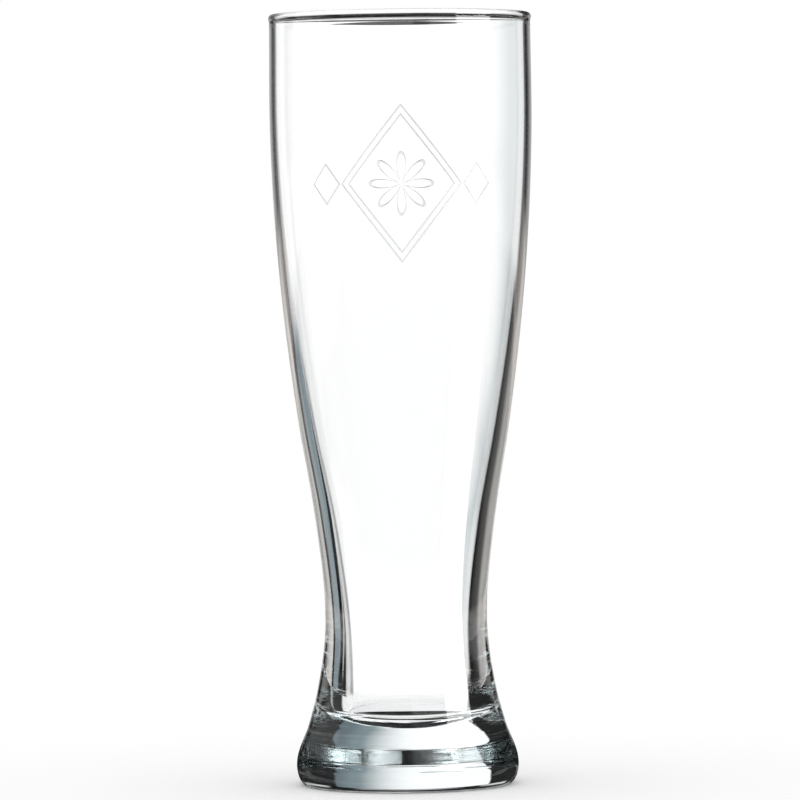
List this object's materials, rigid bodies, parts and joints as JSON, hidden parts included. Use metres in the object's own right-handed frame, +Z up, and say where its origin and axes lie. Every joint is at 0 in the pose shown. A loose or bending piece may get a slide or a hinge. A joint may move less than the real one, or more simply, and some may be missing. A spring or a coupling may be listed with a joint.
{
  "type": "pilsner glass",
  "caption": "Tall clear beer glass with a nearly straight bowl, long taper, narrow waist, thick flared foot and rounded rim.",
  "frame": {"origin": "on the axis of the glass, at the plane of the bearing ring that it stands on", "axes": "+Z up along the axis towards the mouth, +X and +Y alike around it"},
  "size_m": [0.0736, 0.0736, 0.216],
  "materials": {
    "clear_glass": "polished clear soda-lime glass, fire-polished rim"
  },
  "bodies": {
    "root": {"foot": "clear_glass", "waist_wall": "clear_glass", "taper_wall": "clear_glass", "bowl_wall": "clear_glass", "rim_bead": "clear_glass"}
  },
  "joints": []
}
